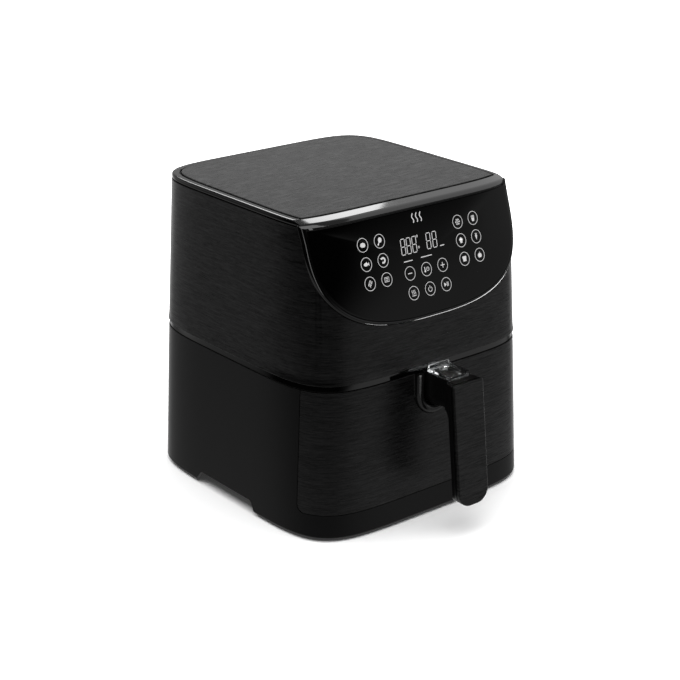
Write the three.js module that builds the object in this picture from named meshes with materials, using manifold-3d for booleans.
// Basket air fryer: a tapered rounded-square housing, a slanted touch panel, a brushed top plate and a drawer
// that carries an outer and an inner basket. Millimetres, +Z up, front towards -Y, origin under the middle of the
// housing on the surface that it stands on. Fan, motor, heater, boards and the basket latch are separate pieces.
import * as THREE from "three";
import { mergeVertices } from "three/addons/utils/BufferGeometryUtils.js";
import Module from "manifold-3d";

const wasm = await Module();
wasm.setup();

// ---------------------------------------------------------------- driving dimensions
const HEIGHT = 321; // top of the brushed plate
const HALF_WIDTH = 150; // of the housing where it is widest, at the skirt
const HALF_DEPTH = 154.4;
const LOWER_CORNER = 5.4; // superellipse exponent of the housing's plan, lower half
const TOP_CORNER = 6.6; // the same at the top, where the corners are tighter
const GAP = 0.35; // between pieces that touch
const WALL = 2.6; // moulded housing walls
const SHEET = 1.2; // pressed metal walls

const SKIRT_Z = 3; // lower edge of the housing, above the feet
const DRAWER_BOTTOM_Z = 28.3;
const DRAWER_TOP_Z = 155.2;
const BAND_TOP_Z = 162; // the glossy band lies between drawer and upper housing
const HOUSING_TOP_Z = 314.2;
const LOWER_TAPER = 5.9 / BAND_TOP_Z; // inward per mm of height
const UPPER_TAPER = 9.8 / (HEIGHT - BAND_TOP_Z);
const SIDE_SEAM_Y = -110.8; // where the drawer front ends on the sides
const SEAM_CORNER = 8;

const PANEL_SLOPE = 0.328; // the control panel leans back by this much per mm of height
const PANEL_REF_Z = 255;
const PANEL_REF_Y = -135.1;
const PANEL_HALF_WIDTH = 161; // superellipse of the panel's bowed face
const PANEL_HALF_DEPTH = 140;
const PANEL_CORNER = 6;
const BEZEL_THICK = 4.5;
const BEZEL_HALF_WIDTH = 132.6; // outline of the bezel seen from the front
const BEZEL_MID_Z = 300;
const BEZEL_DROP = 90;
const BEZEL_CORNER = 2.85;
const BEZEL_RIM = 3;
const BEVEL = { slope: 3.65, y: -114.9, z: 316.7 }; // the gloss slope between panel and top plate
const TOP_RIM = 6.5; // width of the glossy rim round the top plate
const TOP_PLATE_INSET = 8;
const TOP_PLATE_FRONT_Y = -101;

const AXIS_SIDES = 28; // facets of round metalwork
const FAN_SIDES = 28;
const FRAME_SHIFT_Y = 25; // from the middle of the housing to the middle of the whole, handle included

// ---------------------------------------------------------------- solids
const solidOf = (geometry) => {
  const bare = geometry.index ? geometry.toNonIndexed() : geometry.clone();
  const merged = mergeVertices(
    new THREE.BufferGeometry().setAttribute("position", bare.getAttribute("position")),
    1e-4,
  );
  return new wasm.Manifold(
    new wasm.Mesh({
      numProp: 3,
      vertProperties: merged.attributes.position.array,
      triVerts: new Uint32Array(merged.index.array),
    }),
  );
};

const geometryOf = (solid) => {
  const mesh = solid.getMesh();
  const points = new Float32Array(mesh.numVert * 3);
  for (let i = 0; i < mesh.numVert; i++)
    points.set(mesh.vertProperties.subarray(i * mesh.numProp, i * mesh.numProp + 3), i * 3);
  const geometry = new THREE.BufferGeometry()
    .setAttribute("position", new THREE.BufferAttribute(points, 3))
    .setIndex(new THREE.BufferAttribute(mesh.triVerts, 1));
  geometry.computeVertexNormals();
  return geometry;
};

const box = (low, high) =>
  solidOf(
    new THREE.BoxGeometry(high[0] - low[0], high[1] - low[1], high[2] - low[2]).translate(
      (low[0] + high[0]) / 2,
      (low[1] + high[1]) / 2,
      (low[2] + high[2]) / 2,
    ),
  );

// A cylinder standing on z0 at (x, y).
const post = (x, y, z0, z1, radius, sides = 16, topRadius = radius) =>
  solidOf(
    new THREE.CylinderGeometry(topRadius, radius, z1 - z0, sides)
      .rotateX(Math.PI / 2)
      .translate(x, y, (z0 + z1) / 2),
  );

// A cylinder along Y from y0 to y1.
const rodY = (x, y0, y1, z, radius, sides = 16) =>
  solidOf(new THREE.CylinderGeometry(radius, radius, y1 - y0, sides).translate(x, (y0 + y1) / 2, z));

// A cylinder along X, centred on x = 0.
const rodX = (halfLength, y, z, radius, sides = 12) =>
  solidOf(
    new THREE.CylinderGeometry(radius, radius, 2 * halfLength, sides)
      .rotateZ(Math.PI / 2)
      .translate(0, y, z),
  );

// A profile of [radius, z] pairs turned about a vertical axis at (x, y).
const lathe = (profile, x = 0, y = 0, sides = AXIS_SIDES) =>
  solidOf(
    new THREE.LatheGeometry(
      profile.map(([r, z]) => new THREE.Vector2(r, z)),
      sides,
    )
      .rotateX(Math.PI / 2)
      .translate(x, y, 0),
  );

// A shape drawn in (y, z) and extruded along X, centred.
const extrudeX = (shape, halfLength, curveSegments = 8) =>
  solidOf(
    new THREE.ExtrudeGeometry(shape, { depth: 2 * halfLength, bevelEnabled: false, curveSegments })
      .applyMatrix4(new THREE.Matrix4().set(0, 0, 1, -halfLength, 1, 0, 0, 0, 0, 1, 0, 0, 0, 0, 0, 1)),
  );

// A shape drawn in (x, z) and extruded along Y from y0 to y1.
const extrudeY = (shape, y0, y1, curveSegments = 12) =>
  solidOf(
    new THREE.ExtrudeGeometry(shape, { depth: y1 - y0, bevelEnabled: false, curveSegments })
      .applyMatrix4(new THREE.Matrix4().set(1, 0, 0, 0, 0, 0, -1, y1, 0, 1, 0, 0, 0, 0, 0, 1)),
  );

// A shape drawn in (x, y) and extruded from z0 to z1.
const extrudeZ = (shape, z0, z1, curveSegments = 6) =>
  solidOf(
    new THREE.ExtrudeGeometry(shape, { depth: z1 - z0, bevelEnabled: false, curveSegments })
      .translate(0, 0, z0),
  );

const roundedRectangle = (x0, y0, x1, y1, radius) => {
  const s = new THREE.Shape();
  s.absarc(x1 - radius, y0 + radius, radius, -Math.PI / 2, 0, false);
  s.absarc(x1 - radius, y1 - radius, radius, 0, Math.PI / 2, false);
  s.absarc(x0 + radius, y1 - radius, radius, Math.PI / 2, Math.PI, false);
  s.absarc(x0 + radius, y0 + radius, radius, Math.PI, 1.5 * Math.PI, false);
  s.closePath();
  return s;
};

// A closed tube with a round section along a curve.
const tube = (curve, radius, steps, sides) => {
  const section = new THREE.Shape();
  for (let i = 0; i <= sides; i++) {
    const t = (2 * Math.PI * i) / sides;
    const move = i ? "lineTo" : "moveTo";
    section[move](radius * Math.cos(t), radius * Math.sin(t));
  }
  return solidOf(new THREE.ExtrudeGeometry(section, { steps, bevelEnabled: false, extrudePath: curve }));
};

const join = (...solids) => solids.reduce((a, b) => a.add(b));
const cut = (solid, ...tools) => tools.reduce((a, b) => a.subtract(b), solid);
const inXY = (solid, degrees, x = 0, y = 0) =>
  solid.translate([-x, -y, 0]).rotate([0, 0, degrees]).translate([x, y, 0]);

// ---------------------------------------------------------------- housing outline
const PLAN_POINTS = 56;

// Superellipse in plan, as a ring of points at height z.
const plan = (z, halfX, halfY, corner, shiftY = 0) => {
  const ring = [];
  for (let i = 0; i < PLAN_POINTS; i++) {
    const t = (2 * Math.PI * i) / PLAN_POINTS;
    const c = Math.cos(t);
    const s = Math.sin(t);
    ring.push([
      halfX * Math.sign(c) * Math.abs(c) ** (2 / corner),
      halfY * Math.sign(s) * Math.abs(s) ** (2 / corner) + shiftY,
      z,
    ]);
  }
  return ring;
};

// A solid through convex rings of equal length, bottom to top.
const loft = (rings) => {
  const n = rings[0].length;
  const triangles = [];
  const centre = (ring) => ring.reduce((a, p) => a.map((v, k) => v + p[k] / n), [0, 0, 0]);
  const low = centre(rings[0]);
  const high = centre(rings[rings.length - 1]);
  for (let i = 0; i < n; i++) {
    const j = (i + 1) % n;
    triangles.push(low, rings[0][j], rings[0][i]);
    triangles.push(high, rings[rings.length - 1][i], rings[rings.length - 1][j]);
    for (let k = 0; k + 1 < rings.length; k++) {
      triangles.push(rings[k][i], rings[k][j], rings[k + 1][j]);
      triangles.push(rings[k][i], rings[k + 1][j], rings[k + 1][i]);
    }
  }
  return solidOf(
    new THREE.BufferGeometry().setAttribute(
      "position",
      new THREE.BufferAttribute(new Float32Array(triangles.flat()), 3),
    ),
  );
};

// The housing's outline at height z, moved in by inset.
const outline = (z, inset = 0, shiftY = 0) => {
  const above = Math.max(0, z - BAND_TOP_Z);
  const taper = LOWER_TAPER * Math.min(z, BAND_TOP_Z) + UPPER_TAPER * above;
  const corner = LOWER_CORNER + ((TOP_CORNER - LOWER_CORNER) * above) / (HEIGHT - BAND_TOP_Z);
  return plan(z, HALF_WIDTH - taper - inset, HALF_DEPTH - taper - inset, corner, shiftY);
};
const housingBlock = (z0, z1, inset = 0, shiftY = 0) => {
  const levels = z0 < BAND_TOP_Z && z1 > BAND_TOP_Z ? [z0, BAND_TOP_Z, z1] : [z0, z1];
  return loft(levels.map((z) => outline(z, inset, shiftY)));
};
const frontY = (z) => -(HALF_DEPTH - LOWER_TAPER * Math.min(z, BAND_TOP_Z) - UPPER_TAPER * Math.max(0, z - BAND_TOP_Z));

// Everything behind a bowed face that passes through (refY, refZ) and leans back by slope per mm of height.
const PANEL_ARC = 26;
const behindFace = (refY, refZ, slope, z0, z1) => {
  const ringAt = (z) => {
    const middle = refY + slope * (z - refZ) + PANEL_HALF_DEPTH;
    const ring = [];
    for (let i = 0; i <= PANEL_ARC; i++) {
      const t = Math.PI + (Math.PI * i) / PANEL_ARC;
      const c = Math.cos(t);
      const x = PANEL_HALF_WIDTH * Math.sign(c) * Math.abs(c) ** (2 / PANEL_CORNER);
      ring.push([x, middle - PANEL_HALF_DEPTH * Math.abs(Math.sin(t)) ** (2 / PANEL_CORNER), z]);
    }
    ring.push([PANEL_HALF_WIDTH, 260, z], [-PANEL_HALF_WIDTH, 260, z]);
    return ring;
  };
  return loft([ringAt(z0), ringAt(z1)]);
};
const behindPanel = (depth = 0, z0 = 150, z1 = 340) =>
  behindFace(PANEL_REF_Y + depth, PANEL_REF_Z, PANEL_SLOPE, z0, z1);
const panelFaceY = (z) => PANEL_REF_Y + PANEL_SLOPE * (z - PANEL_REF_Z);
const PANEL_LEAN = Math.atan(PANEL_SLOPE);

// The bezel's front outline, moved in by inset: a deep rounded U, open upwards to topZ.
const bezelPrism = (inset, topZ) => {
  const s = new THREE.Shape();
  const halfWidth = BEZEL_HALF_WIDTH - inset;
  const drop = BEZEL_DROP - inset;
  const steps = 32;
  for (let i = 0; i <= steps; i++) {
    const t = Math.PI + (Math.PI * i) / steps;
    const c = Math.cos(t);
    const x = halfWidth * Math.sign(c) * Math.abs(c) ** (2 / BEZEL_CORNER);
    const z = BEZEL_MID_Z - drop * Math.abs(Math.sin(t)) ** (2 / BEZEL_CORNER);
    if (i) s.lineTo(x, z);
    else s.moveTo(x, z);
  }
  s.lineTo(halfWidth + 1, topZ);
  s.lineTo(-halfWidth - 1, topZ);
  s.closePath();
  return extrudeY(s, -170, -40);
};

// ---------------------------------------------------------------- materials and assembly
const finish = (color, roughness, metalness = 0, extra = {}) =>
  new THREE.MeshStandardMaterial({ color, roughness, metalness, ...extra });
const BRUSHED_BLACK = finish(0x18181a, 0.42, 0.35);
const GLOSS_BLACK = finish(0x0b0b0c, 0.12);
const SATIN_BLACK = finish(0x151516, 0.45);
const PANEL_GLASS = finish(0x050506, 0.05);
const CLEAR = finish(0xdfe3e4, 0.08, 0, { transparent: true, opacity: 0.35 });
const NON_STICK = finish(0x2a2a2b, 0.55, 0.2);
const STEEL = finish(0x9a9a97, 0.35, 0.9);
const ELEMENT = finish(0x4b4744, 0.5, 0.7);
const RUBBER = finish(0x1c1c1c, 0.9);
const BOARD = finish(0x1f5a35, 0.6);
const COMPONENT = finish(0x2c2c30, 0.5);

const airFryer = new THREE.Group();
const add = (name, solid, material) => {
  const mesh = new THREE.Mesh(geometryOf(solid), material);
  mesh.name = name;
  airFryer.add(mesh);
};

// ---------------------------------------------------------------- lower housing
const SHELL_TOP_Z = 155.4;
const ARCH = { front: -48, back: 57, topFront: -41, topBack: 46, top: 15 };
const INTAKE_SLOTS = 9;
const GLAND = { x: -88, z: 62, hole: 8.2 };

// The drawer's opening seen from the side, with its rounded lower corner, grown by margin.
const drawerSideShape = (margin) => {
  const s = new THREE.Shape();
  const back = SIDE_SEAM_Y + margin;
  const low = DRAWER_BOTTOM_Z - margin;
  s.moveTo(-220, low);
  s.lineTo(back - SEAM_CORNER, low);
  s.absarc(back - SEAM_CORNER, low + SEAM_CORNER, SEAM_CORNER, -Math.PI / 2, 0, false);
  s.lineTo(back, 220);
  s.lineTo(-220, 220);
  s.closePath();
  return s;
};

const sideArch = () => {
  const s = new THREE.Shape();
  s.moveTo(ARCH.front, -5);
  s.lineTo(ARCH.front, 2);
  s.lineTo(ARCH.topFront, ARCH.top);
  s.lineTo(ARCH.topBack, ARCH.top);
  s.lineTo(ARCH.back, 2);
  s.lineTo(ARCH.back, -5);
  s.closePath();
  return extrudeX(s, 180);
};

const lowerHousing = () => {
  const outer = loft([outline(SKIRT_Z, 1.6), outline(SKIRT_Z + 2.5), outline(SHELL_TOP_Z)]);
  const inner = housingBlock(SKIRT_Z - 5, SHELL_TOP_Z + 5, WALL);
  return cut(
    outer,
    inner,
    extrudeX(drawerSideShape(GAP), 180),
    sideArch(),
    rodY(GLAND.x, 120, 170, GLAND.z, GLAND.hole, 20),
  );
};
add("lower_housing", lowerHousing(), BRUSHED_BLACK);

// ---------------------------------------------------------------- base plate, feet and screws
const BASE_Z = [16, 18.5];
const FEET = [
  ["front_left", -102, -104],
  ["front_right", 102, -104],
  ["rear_left", -102, 104],
  ["rear_right", 102, 104],
];
const FOOT = { radius: 11, height: 5.2, pad: 15 };
const BASE_SCREWS = [
  [-120, -78],
  [120, -78],
  [-120, 78],
  [120, 78],
];

const basePlate = () => {
  const plate = loft([outline(BASE_Z[0], WALL + GAP), outline(BASE_Z[1], WALL + GAP)]);
  const pads = FEET.map(([, x, y]) =>
    cut(
      post(x, y, 3.4, BASE_Z[0] + 1, FOOT.pad, 16),
      post(x, y, 0, FOOT.height + GAP, FOOT.radius + GAP, 16),
    ),
  );
  const vents = [];
  for (let row = -4; row <= 4; row++)
    vents.push(box([-42, row * 13 - 1.8, BASE_Z[0] - 2], [42, row * 13 + 1.8, BASE_Z[1] + 2]));
  const holes = BASE_SCREWS.map(([x, y]) => post(x, y, BASE_Z[0] - 2, BASE_Z[1] + 2, 2.2, 12));
  return cut(join(plate, ...pads), ...vents, ...holes);
};
add("base_plate", basePlate(), SATIN_BLACK);
FEET.forEach(([name, x, y]) =>
  add("foot_" + name, post(x, y, 0, FOOT.height, FOOT.radius - 1, 16, FOOT.radius - 0.2), RUBBER),
);
BASE_SCREWS.forEach(([x, y], i) => {
  const head = cut(
    post(x, y, BASE_Z[0] - 2.6, BASE_Z[0] - GAP, 3.6, 12),
    box([x - 2.4, y - 0.4, BASE_Z[0] - 3], [x + 2.4, y + 0.4, BASE_Z[0] - 1.6]),
    box([x - 0.4, y - 2.4, BASE_Z[0] - 3], [x + 0.4, y + 2.4, BASE_Z[0] - 1.6]),
  );
  add("base_screw_" + (i + 1), join(head, post(x, y, BASE_Z[0] - 1, BASE_Z[1] + 1, 1.7, 8)), STEEL);
});

// ---------------------------------------------------------------- band and middle frame
const BAND_Z = [155.7, BAND_TOP_Z - 0.3];
const FRAME_Z = [157.2, 159.8];
const CHAMBER_RADIUS = 112;
const seamBand = () =>
  cut(
    loft([outline(BAND_Z[0], 0.9), outline(BAND_Z[1], 1.9)]),
    housingBlock(BAND_Z[0] - 2, BAND_Z[1] + 2, 5),
  );
add("seam_band", seamBand(), GLOSS_BLACK);

const middleFrame = () =>
  cut(
    loft([outline(FRAME_Z[0], 5.4), outline(FRAME_Z[1], 5.4)]),
    post(0, 0, FRAME_Z[0] - 2, FRAME_Z[1] + 2, CHAMBER_RADIUS - 4, AXIS_SIDES),
  );
add("middle_frame", middleFrame(), SATIN_BLACK);

// ---------------------------------------------------------------- cooking chamber
const CHAMBER = { halfX: 125, back: 122.5, front: -106.5, low: 20, high: 156.8, corner: 30 };
const SWITCH = { x: 60, z: 138 };
const chamberLiner = () => {
  const { halfX, back, front, low, high, corner } = CHAMBER;
  const outer = extrudeZ(roundedRectangle(-halfX, front - 60, halfX, back, corner), low, high);
  const inner = extrudeZ(
    roundedRectangle(-halfX + SHEET, front - 70, halfX - SHEET, back - SHEET, corner - SHEET),
    low + SHEET,
    high + 5,
  );
  return cut(
    outer,
    inner,
    box([-160, -260, 0], [160, front, 200]),
    rodY(SWITCH.x, back - 10, back + 10, SWITCH.z, 2.6, 12),
  );
};
add("chamber_liner", chamberLiner(), STEEL);

// The face round the drawer opening, between the liner and the housing walls.
const chamberFrame = () => {
  const slab = housingBlock(19, SHELL_TOP_Z - 0.6, WALL + GAP).intersect(
    box([-160, -109.6, 0], [160, CHAMBER.front - GAP, 200]),
  );
  return cut(slab, box([-124, -200, 23.6], [124, 0, 200]));
};
add("chamber_frame", chamberFrame(), SATIN_BLACK);

const DOME = { wall: CHAMBER_RADIUS, roof: 205, flange: 122, low: 160.2 };
const LEGS = [
  [98, 6],
  [82, -32],
];
const polar = (radius, degrees, z) => [
  radius * Math.cos((degrees * Math.PI) / 180),
  radius * Math.sin((degrees * Math.PI) / 180),
  z,
];
const DUCT = { half: 34, z0: 172, z1: 200 };
const heaterDome = () => {
  const { wall, roof, flange, low } = DOME;
  const shell = lathe([
    [5, roof - SHEET],
    [wall - SHEET - 8, roof - SHEET],
    [wall - SHEET, roof - SHEET - 8],
    [wall - SHEET, low],
    [flange, low],
    [flange, low + SHEET],
    [wall, low + SHEET],
    [wall, roof - 8],
    [wall - 8, roof],
    [5, roof],
    [5, roof - SHEET],
  ]);
  const legHoles = LEGS.map(([r, a]) => post(...polar(r, a).slice(0, 2), roof - 20, roof + 5, 4.4, 12));
  const outlet = box([-DUCT.half, 60, DUCT.z0], [DUCT.half, 140, DUCT.z1]);
  const probe = rodY(0, -135, -90, 182, 2.6, 10);
  return cut(shell, ...legHoles, outlet, inXY(probe, 40));
};
add("heater_dome", heaterDome(), STEEL);

const heatingElement = () => {
  const points = [];
  const [outerR, outerA] = LEGS[0];
  const [innerR, innerA] = LEGS[1];
  points.push(polar(outerR, outerA, 213), polar(outerR, outerA, 190), polar(outerR, outerA + 1, 172));
  for (let a = outerA + 8; a <= 300; a += 18) points.push(polar(outerR, a, 168));
  points.push(polar(94, 315, 168), polar(86, 332, 168), polar(innerR, 350, 168));
  for (let a = 364; a <= 360 + 308; a += 18) points.push(polar(innerR, a, 168));
  points.push(polar(innerR, 720 + innerA - 7, 172), polar(innerR, innerA, 190), polar(innerR, innerA, 213));
  const curve = new THREE.CatmullRomCurve3(points.map((p) => new THREE.Vector3(...p)), false, "centripetal");
  return tube(curve, 3.2, 60, 6);
};
add("heating_element", heatingElement(), ELEMENT);

const heaterGuard = () => {
  const ring = (r, w) => cut(post(0, 0, 157.4, 159.2, r + w, 20), post(0, 0, 157, 160, r - w, 20));
  const spokes = [0, 60, 120].map((a) => inXY(box([-104, -1, 157.6], [104, 1, 159]), a));
  return join(ring(104, 2), ring(72, 1.3), ring(38, 1.3), ...spokes);
};
add("heater_guard", heaterGuard(), STEEL);
add("temperature_probe", inXY(rodY(0, -132, -104, 182, 2.1, 10), 40), STEEL);
add("thermal_cutout", join(post(-62, 44, 205.4, 211, 9, 20), box([-72, 41, 211], [-52, 47, 213])), STEEL);

// ---------------------------------------------------------------- fan and motor
const SHAFT_RADIUS = 3.5;
const SHAFT_SIDES = 16;
const MOTOR = { low: 218, high: 250, radius: 35 };
const blades = (count, r0, r1, z0, z1, thick, twist) => {
  const made = [];
  for (let i = 0; i < count; i++) {
    const blade = solidOf(
      new THREE.BoxGeometry(r1 - r0, thick, z1 - z0)
        .rotateX(twist)
        .translate((r0 + r1) / 2, 0, (z0 + z1) / 2),
    );
    made.push(blade.rotate([0, 0, (360 * i) / count]));
  }
  return made;
};

add(
  "motor_shaft",
  join(post(0, 0, 176, 274, SHAFT_RADIUS, SHAFT_SIDES), post(0, 0, 176, 178, 7, 6)),
  STEEL,
);
const fanHub = (z0, z1, radius) =>
  cut(post(0, 0, z0, z1, radius, 20), post(0, 0, z0 - 1, z1 + 1, SHAFT_RADIUS + 0.3, SHAFT_SIDES));
const hotAirFan = () =>
  join(
    fanHub(178.4, 194, 11),
    cut(
      post(0, 0, 191.6, 193, 72, FAN_SIDES),
      post(0, 0, 190, 195, SHAFT_RADIUS + 0.3, SHAFT_SIDES),
    ),
    ...blades(12, 24, 71, 180, 192, 1.2, 0),
  );
add("hot_air_fan", hotAirFan(), STEEL);
const coolingFan = () => join(fanHub(256, 268, 14), ...blades(9, 12, 56, 258.5, 265.5, 1.6, 0.7));
add("cooling_fan", coolingFan(), SATIN_BLACK);

const bore = (z0, z1, radius = SHAFT_RADIUS + 0.5) => post(0, 0, z0, z1, radius, 20);
const motor = () =>
  cut(
    join(
      post(0, 0, MOTOR.low, MOTOR.high, MOTOR.radius, AXIS_SIDES),
      post(0, 0, MOTOR.high - 1, MOTOR.high + 4, 11, 20),
    ),
    bore(MOTOR.low - 2, MOTOR.high + 8),
  );
add("fan_motor", motor(), STEEL);
const motorBracket = () => {
  const plate = cut(post(0, 0, MOTOR.low - 2.8, MOTOR.low - GAP, 46, AXIS_SIDES), bore(210, 222, 9));
  const legs = [90, 210, 330].map((a) =>
    inXY(join(box([36, -6, DOME.roof + GAP], [38, 6, MOTOR.low - 2]), box([36, -6, DOME.roof + GAP], [54, 6, DOME.roof + 2])), a),
  );
  return join(plate, ...legs);
};
add("motor_bracket", motorBracket(), STEEL);

// ---------------------------------------------------------------- upper housing, bezel, top plate
const REAR_VENT = { halfX: 56, z0: 176, z1: 236, proud: 6 };
const upperHousing = () => {
  const outer = loft([
    outline(BAND_TOP_Z, -0.7),
    outline(BAND_TOP_Z + 3, -0.5),
    outline(BAND_TOP_Z + 9),
    outline(HOUSING_TOP_Z),
  ]);
  const shell = cut(outer, housingBlock(BAND_TOP_Z - 3, HOUSING_TOP_Z + 3, WALL));
  const panelSeat = cut(bezelPrism(-0.6, 340), behindPanel(BEZEL_THICK + 0.6));
  const slots = [];
  for (let i = 0; i < INTAKE_SLOTS; i++) {
    const x = (i - (INTAKE_SLOTS - 1) / 2) * 12;
    slots.push(box([x - 1.7, 120, 262], [x + 1.7, 160, 292]));
  }
  const vent = box(
    [-REAR_VENT.halfX, 120, REAR_VENT.z0],
    [REAR_VENT.halfX, 170, REAR_VENT.z1],
  );
  return cut(shell, panelSeat, vent, ...slots);
};
add("upper_housing", upperHousing(), BRUSHED_BLACK);

const COVER_Z = [HOUSING_TOP_Z + 0.7, 320.4];
const POCKET_Z = 317.2;
const GLASS_TOP_Z = 312.5;
const topSlab = (z0, z1, inset, frontEdge) =>
  loft([outline(z0, inset), outline(z1, inset)]).intersect(behindFace(frontEdge, z0, 0, z0 - 5, z1 + 5));
const bevelled = (solid) => {
  const { slope, y, z } = BEVEL;
  const softened = behindFace(y + 0.8, z - 0.9, 1.2, 300, z + 4);
  return solid
    .intersect(join(behindFace(y, z, slope, z - 3, z + 4.6), box([-200, -200, 190], [200, 300, z - 2.9])))
    .intersect(join(softened, box([-200, -200, 190], [200, 300, 300.1])));
};
const topBezel = () => {
  const plate = cut(
    bezelPrism(0, HOUSING_TOP_Z + 3).intersect(behindPanel()),
    behindPanel(BEZEL_THICK),
    box([-200, -60, 190], [200, 0, 330]),
  );
  const inHousing = loft([outline(200, -4.6), outline(300, -4.6), outline(COVER_Z[1], -1.5)]);
  const cover = loft([outline(COVER_Z[0]), outline(COVER_Z[1] - 2), outline(COVER_Z[1], 1.6)]).intersect(
    behindPanel(),
  );
  const glassPocket = cut(bezelPrism(BEZEL_RIM, GLASS_TOP_Z + GAP), behindPanel(2.3));
  return cut(
    bevelled(join(plate.intersect(inHousing), cover)),
    topSlab(POCKET_Z, COVER_Z[1] + 4, TOP_RIM, TOP_PLATE_FRONT_Y - 1.2),
    glassPocket,
  );
};
add("top_bezel", topBezel(), GLOSS_BLACK);

const topPlate = () =>
  join(
    topSlab(POCKET_Z + GAP, HEIGHT - 0.7, TOP_PLATE_INSET, TOP_PLATE_FRONT_Y),
    topSlab(HEIGHT - 0.8, HEIGHT, TOP_PLATE_INSET + 0.7, TOP_PLATE_FRONT_Y + 0.7),
  );
add("top_plate", topPlate(), BRUSHED_BLACK);

const controlGlass = () =>
  cut(bezelPrism(BEZEL_RIM + GAP, GLASS_TOP_Z).intersect(behindPanel()), behindPanel(2));
add("control_glass", controlGlass(), PANEL_GLASS);

// Boards stand parallel to the panel face. offset is the distance behind it.
const slantedBoard = (halfX, z0, z1, offset0, offset1) => {
  const midZ = (z0 + z1) / 2;
  const height = (z1 - z0) / Math.cos(PANEL_LEAN);
  return solidOf(
    new THREE.BoxGeometry(2 * halfX, offset1 - offset0, height)
      .translate(0, (offset0 + offset1) / 2, 0)
      .rotateX(-PANEL_LEAN)
      .translate(0, panelFaceY(midZ), midZ),
  );
};
add("display_board", slantedBoard(84, 228, 300, 13, 14.6), BOARD);
add("display_module", slantedBoard(30, 268, 292, 6, 12.6), COMPONENT);

// ---------------------------------------------------------------- power electronics
const BOARD_X = [112, 113.6];
add("power_board", box([BOARD_X[0], -30, 215], [BOARD_X[1], 78, 290]), BOARD);
add("transformer", box([82, -22, 222], [BOARD_X[0] - GAP, 12, 256]), COMPONENT);
add("relay", box([92, 24, 222], [BOARD_X[0] - GAP, 42, 246]), COMPONENT);
add("capacitor", solidOf(new THREE.CylinderGeometry(9, 9, 26, 20).rotateZ(Math.PI / 2).translate(98.5, 60, 238)), COMPONENT);

// ---------------------------------------------------------------- rear vent and cord gland
const rearVent = () => {
  const { halfX, z0, z1, proud } = REAR_VENT;
  const y1 = -frontY(206) + proud;
  const y0 = y1 - proud - 8;
  const frame = cut(
    box([-halfX + GAP, y0, z0 + GAP], [halfX - GAP, y1, z1 - GAP]),
    box([-halfX + 4, y0 - 2, z0 + 4], [halfX - 4, y1 + 2, z1 - 4]),
  );
  const slats = [];
  for (let z = z0 + 8; z < z1 - 5; z += 6.4)
    slats.push(
      solidOf(
        new THREE.BoxGeometry(2 * halfX - 6, 9, 1.6)
          .rotateX(-0.6)
          .translate(0, y1 - 6, z),
      ),
    );
  slats.push(box([-1.5, y0 + 2, z0 + 2], [1.5, y1 - 3, z1 - 2]));
  return join(frame, ...slats);
};
add("rear_vent", rearVent(), SATIN_BLACK);

const outletDuct = () =>
  cut(
    box([-DUCT.half + 1, 116, DUCT.z0 + 7], [DUCT.half - 1, 137, DUCT.z1 - 1]),
    box([-DUCT.half + 2.4, 110, DUCT.z0 + 8.4], [DUCT.half - 2.4, 145, DUCT.z1 - 2.4]),
  );
add("outlet_duct", outletDuct(), STEEL);

const cordGland = () =>
  solidOf(
    new THREE.LatheGeometry(
      [
        [3.8, -6],
        [7.8, -6],
        [7.8, 1.2],
        [11, 1.2],
        [11, 3.2],
        [7.2, 4.4],
        [6.2, 11.5],
        [3.8, 11.5],
        [3.8, -6],
      ].map(([r, y]) => new THREE.Vector2(r, y)),
      18,
    ).translate(GLAND.x, -frontY(GLAND.z) - 1.2, GLAND.z),
  );
add("cord_gland", cordGland(), RUBBER);

// ---------------------------------------------------------------- drawer switch
const SWITCH_BODY = { front: CHAMBER.back + GAP, back: CHAMBER.back + 11 };
add(
  "drawer_switch",
  cut(
    box([SWITCH.x - 10, SWITCH_BODY.front, SWITCH.z - 7], [SWITCH.x + 10, SWITCH_BODY.back, SWITCH.z + 6]),
    rodY(SWITCH.x, SWITCH_BODY.front - 5, SWITCH_BODY.front + 7, SWITCH.z, 2.5, 12),
  ),
  COMPONENT,
);
add("switch_plunger", rodY(SWITCH.x, 119.7, SWITCH_BODY.front + 5, SWITCH.z, 2, 12), COMPONENT);

// ---------------------------------------------------------------- drawer front
const COLLAR = { halfWidth: 19.5, tube: 4.7, midZ: 133, topZ: 154.6 };
const scoop = (halfWidth) => {
  const s = new THREE.Shape();
  s.moveTo(-halfWidth, 170);
  s.lineTo(-halfWidth, COLLAR.midZ);
  s.absarc(0, COLLAR.midZ, halfWidth, Math.PI, 2 * Math.PI, false);
  s.lineTo(halfWidth, 170);
  s.closePath();
  return extrudeY(s, -170, -100, 20);
};
const CATCH = { z0: 104, z1: 106.8, back: -141.5 };
const drawerFront = () => {
  const outer = housingBlock(DRAWER_BOTTOM_Z - 10, DRAWER_TOP_Z);
  const inner = housingBlock(DRAWER_BOTTOM_Z - 12, DRAWER_TOP_Z + 5, WALL);
  const opening = extrudeX(drawerSideShape(-GAP), 180);
  const shell = cut(outer, inner).intersect(opening);
  const catchLedge = box([-5, frontY(CATCH.z1) + 1, CATCH.z0], [5, CATCH.back, CATCH.z1]);
  return join(cut(shell, scoop(COLLAR.halfWidth + COLLAR.tube + GAP)), catchLedge);
};

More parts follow.
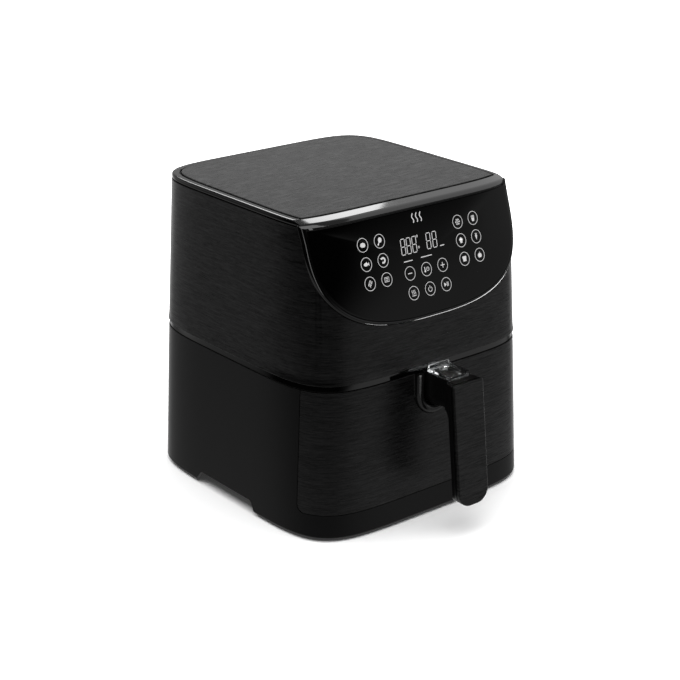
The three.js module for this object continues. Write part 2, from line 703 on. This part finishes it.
const collar = () => {
  const y = frontY(130) - 0.1;
  const { halfWidth, midZ, topZ } = COLLAR;
  const points = [];
  for (let z = topZ; z > midZ + 2; z -= 7) points.push([-halfWidth, z]);
  for (let a = 180; a <= 360; a += 15) {
    const t = (a * Math.PI) / 180;
    points.push([halfWidth * Math.cos(t), midZ + halfWidth * Math.sin(t)]);
  }
  for (let z = topZ - 7 * 2; z <= topZ; z += 7) points.push([halfWidth, z]);
  const smooth = new THREE.CatmullRomCurve3(points.map(([x, z]) => new THREE.Vector3(x, y, z)));
  return tube(smooth, COLLAR.tube, 28, 8);
};
add("drawer_front", drawerFront(), BRUSHED_BLACK);
add("neck_collar", collar(), GLOSS_BLACK);

// A plate behind the drawer front that carries the outer basket.
const LINER_Y = [-128.5, -126];
const frontLiner = () => {
  const block = housingBlock(DRAWER_BOTTOM_Z + 3, DRAWER_TOP_Z - 2, WALL + GAP);
  return cut(
    block.intersect(box([-160, LINER_Y[0], 0], [160, LINER_Y[1], 200])),
    scoop(COLLAR.halfWidth - 2),
  );
};
add("drawer_front_liner", frontLiner(), SATIN_BLACK);

// ---------------------------------------------------------------- baskets
const PAN = { halfX: 120, front: -123.4, back: 119, low: 28.7, high: 146.2, corner: 34 };
const BASKET = { halfX: 115, front: -115.5, back: 114, low: 39, high: 144, corner: 32 };
const taperedTub = (t, floorThick, wall, lean) => {
  const ring = (z, inset) => {
    const shape = roundedRectangle(-t.halfX + inset, t.front + inset, t.halfX - inset, t.back - inset, t.corner - inset);
    return shape.getPoints(3).slice(0, -1).map((p) => [p.x, p.y, z]);
  };
  const outer = loft([ring(t.low, lean + 4), ring(t.low + 4, lean), ring(t.high, 0)]);
  const inner = loft([
    ring(t.low + floorThick, lean + wall + 4),
    ring(t.low + floorThick + 4, lean + wall),
    ring(t.high + 2, wall),
  ]);
  const rim = cut(
    loft([ring(t.high - 2, -2), ring(t.high, -2)]),
    loft([ring(t.high - 4, wall / 2), ring(t.high + 4, wall / 2)]),
  );
  return join(cut(outer, inner), cut(rim, inner));
};
add("outer_basket", taperedTub(PAN, SHEET, SHEET, 5), NON_STICK);

const innerBasket = () => {
  const holes = [];
  const pitch = 27;
  for (let i = -3; i <= 3; i++)
    for (let j = -3; j <= 3; j++)
      if (Math.abs(i) + Math.abs(j) < 5)
        holes.push(post(i * pitch, -1 + j * pitch, BASKET.low - 4, BASKET.low + 8, 5, 6));
  return cut(taperedTub({ ...BASKET }, SHEET, SHEET, 4), ...holes);
};
add("inner_basket", innerBasket(), NON_STICK);

const BUMPERS = [
  ["left", -1, 0],
  ["right", 1, 0],
];
BUMPERS.forEach(([name, side]) =>
  add(
    "basket_bumper_" + name,
    box(
      [side < 0 ? -115.1 : 112.7, -9, 64],
      [side < 0 ? -112.7 : 115.1, 9, 72],
    ),
    RUBBER,
  ),
);

// ---------------------------------------------------------------- handle
const NECK = { halfX: 14, low: 119.2, high: 156.2, rearHigh: 155.1, rear: -130.5, wall: 2.6, floor: 129.5 };
const GRIP = { halfX: 19.6, top: 155.6, low: 30, topY: -199, lean: 0.1065, cover: 3.7, corner: 15 };
const lean = (solid) =>
  solid.transform([1, 0, 0, 0, 0, 1, 0, 0, 0, GRIP.lean, 1, 0, 0, -GRIP.lean * GRIP.top, 0, 1]);

// The grip seen from the front: square top corners, well rounded lower corners.
const gripFace = (inset) => {
  const { halfX, top, low, corner } = GRIP;
  const s = new THREE.Shape();
  const h = halfX - inset;
  const c = corner - inset;
  s.moveTo(-h, top - inset);
  s.lineTo(-h, low + inset + c);
  s.absarc(-h + c, low + inset + c, c, Math.PI, 1.5 * Math.PI, false);
  s.absarc(h - c, low + inset + c, c, 1.5 * Math.PI, 2 * Math.PI, false);
  s.lineTo(h, top - inset);
  s.closePath();
  return s;
};
const gripBack = () => {
  const { halfX, topY, cover } = GRIP;
  const s = new THREE.Shape();
  s.moveTo(-halfX, topY + cover + 0.8);
  s.lineTo(halfX, topY + cover + 0.8);
  s.lineTo(halfX, topY + 9);
  s.bezierCurveTo(halfX - 1, topY + 14, halfX - 8, topY + 17, 0, topY + 17);
  s.bezierCurveTo(-halfX + 8, topY + 17, -halfX + 1, topY + 14, -halfX, topY + 9);
  s.closePath();
  const column = extrudeZ(s, GRIP.low - 5, GRIP.top, 7);
  return lean(column.intersect(extrudeY(gripFace(0), -230, -150)));
};
// The neck's side profile: lower where it runs under the band, arched underneath.
const neckShape = () => {
  const s = new THREE.Shape();
  s.moveTo(NECK.rear, NECK.low);
  s.lineTo(NECK.rear, NECK.rearHigh);
  s.lineTo(-150.5, NECK.rearHigh);
  s.lineTo(-152, NECK.high);
  s.lineTo(-196, NECK.high);
  s.lineTo(-196, 112);
  s.lineTo(-187.5, 112);
  s.bezierCurveTo(-186.5, 119, -184, 126.5, -177, 126.5);
  s.bezierCurveTo(-168, 126.5, -160, NECK.low, -150, NECK.low);
  s.closePath();
  return s;
};
const roundBottomed = (halfX, midZ) => {
  const s = new THREE.Shape();
  s.moveTo(-halfX, 170);
  s.lineTo(-halfX, midZ);
  s.absarc(0, midZ, halfX, Math.PI, 2 * Math.PI, false);
  s.lineTo(halfX, 170);
  s.closePath();
  return s;
};
const BUTTON = { halfX: 9, y0: -172, y1: -158, top: 155.9, under: 152.6 };
const PIVOT = { y: -150, z: 143, radius: 1.5 };
const handleBody = () => {
  const { halfX, wall, floor, low, high, rearHigh } = NECK;
  const side = extrudeX(neckShape(), halfX);
  const neck = join(
    side.intersect(extrudeY(roundBottomed(halfX, COLLAR.midZ), -200, -120, 8)),
    side.intersect(box([-halfX, -200, 100], [halfX, -180, 170])),
  );
  const cavity = box([-halfX + wall, -186, floor], [halfX - wall, -120, rearHigh - wall]);
  const buttonHole = box(
    [-BUTTON.halfX - GAP, BUTTON.y0 - GAP, rearHigh - wall - 2],
    [BUTTON.halfX + GAP, BUTTON.y1 + GAP, high + 5],
  );
  const latchSlot = box([-5.5, -147.5, low - 5], [5.5, -120, floor + 2]);
  const whole = join(neck, gripBack());
  const clearFront = lean(box([-40, -230, 0], [40, GRIP.topY + GRIP.cover + 0.8, 200]));
  return cut(whole, cavity, buttonHole, latchSlot, clearFront);
};
add("handle_body", handleBody(), SATIN_BLACK);

const handleCover = () => {
  const y0 = GRIP.topY;
  const face = extrudeY(gripFace(0), y0, y0 + GRIP.cover);
  const hollow = extrudeY(gripFace(2.2), y0 + 2, y0 + GRIP.cover + 2);
  return lean(cut(face, hollow));
};
add("handle_cover", handleCover(), BRUSHED_BLACK);

const handleBracket = () => {
  const arms = box([-9, -176, 147], [9, -117.8, 149]);
  const drop = box([-9, -119.4, 122], [9, -117.8, 149]);
  return cut(join(arms, drop), box([-5.2, -180, 140], [5.2, -131, 160]));
};
add("handle_bracket", handleBracket(), STEEL);
[-1, 1].forEach((side, i) =>
  add("bracket_rivet_" + (i + 1), rodY(side * 5, -117.4, -115.3, 130, 2.6, 12), STEEL),
);

// ---------------------------------------------------------------- release button, latch and guard
const releaseButton = () =>
  join(
    box([-BUTTON.halfX, BUTTON.y0, BUTTON.under], [BUTTON.halfX, BUTTON.y1, BUTTON.top]),
    box([-3, -170, 146.6], [3, -166, BUTTON.under + 0.5]),
  );
add("release_button", releaseButton(), SATIN_BLACK);

const latchHook = () => {
  const s = new THREE.Shape();
  [
    [-170, 143],
    [-170, 145.4],
    [-153, 147],
    [-142, 146.4],
    [-137.3, 141],
    [-137.3, 98.6],
    [-145, 100.4],
    [-145, 103.2],
    [-140.5, 103.2],
    [-140.5, 136.5],
    [-147, 139],
    [-153, 139.4],
  ].forEach(([y, z], i) => (i ? s.lineTo(y, z) : s.moveTo(y, z)));
  s.closePath();
  return cut(extrudeX(s, 4), rodX(6, PIVOT.y, PIVOT.z, PIVOT.radius + 0.3, 12));
};
add("latch_hook", latchHook(), STEEL);
add("latch_pin", rodX(NECK.halfX - NECK.wall - GAP, PIVOT.y, PIVOT.z, PIVOT.radius, 12), STEEL);

// A torsion spring wound on the pin beside the hook, with one end on the neck's floor.
const latchSpring = () => {
  const radius = 2.6;
  const points = [new THREE.Vector3(4.9, -160, 142.6)];
  for (let i = 0; i <= 24; i++) {
    const t = (-2 * Math.PI * i) / 8 + Math.PI / 2;
    points.push(
      new THREE.Vector3(5 + (3.4 * i) / 24, PIVOT.y + radius * Math.cos(t + Math.PI), PIVOT.z - radius * Math.sin(t)),
    );
  }
  points.push(new THREE.Vector3(8.7, -158, 131.4));
  return tube(new THREE.CatmullRomCurve3(points, false, "centripetal"), 0.5, 44, 4);
};
add("latch_spring", latchSpring(), STEEL);

const GUARD = { halfX: 14, front: -186.8, rear: -154, low: 156.6, high: 160.9, tab: 164 };
const buttonGuard = () => {
  const { halfX, front, rear, low, high, tab } = GUARD;
  const slab = box([-halfX, front, low], [halfX, rear, high]);
  const ridge = box([-halfX + 1, rear - 2.8, high - 1], [halfX - 1, rear, tab]);
  const thumb = solidOf(
    new THREE.SphereGeometry(1, 20, 12).scale(9.5, 11.5, 3).translate(0, (front + rear) / 2 - 1, high + 0.9),
  );
  const under = box([-halfX + 2, front + 2, low - 1], [halfX - 2, rear - 4, low + 1]);
  return cut(join(slab, ridge), thumb, under);
};
add("button_guard", buttonGuard(), CLEAR);

airFryer.position.y = FRAME_SHIFT_Y;
export default airFryer;
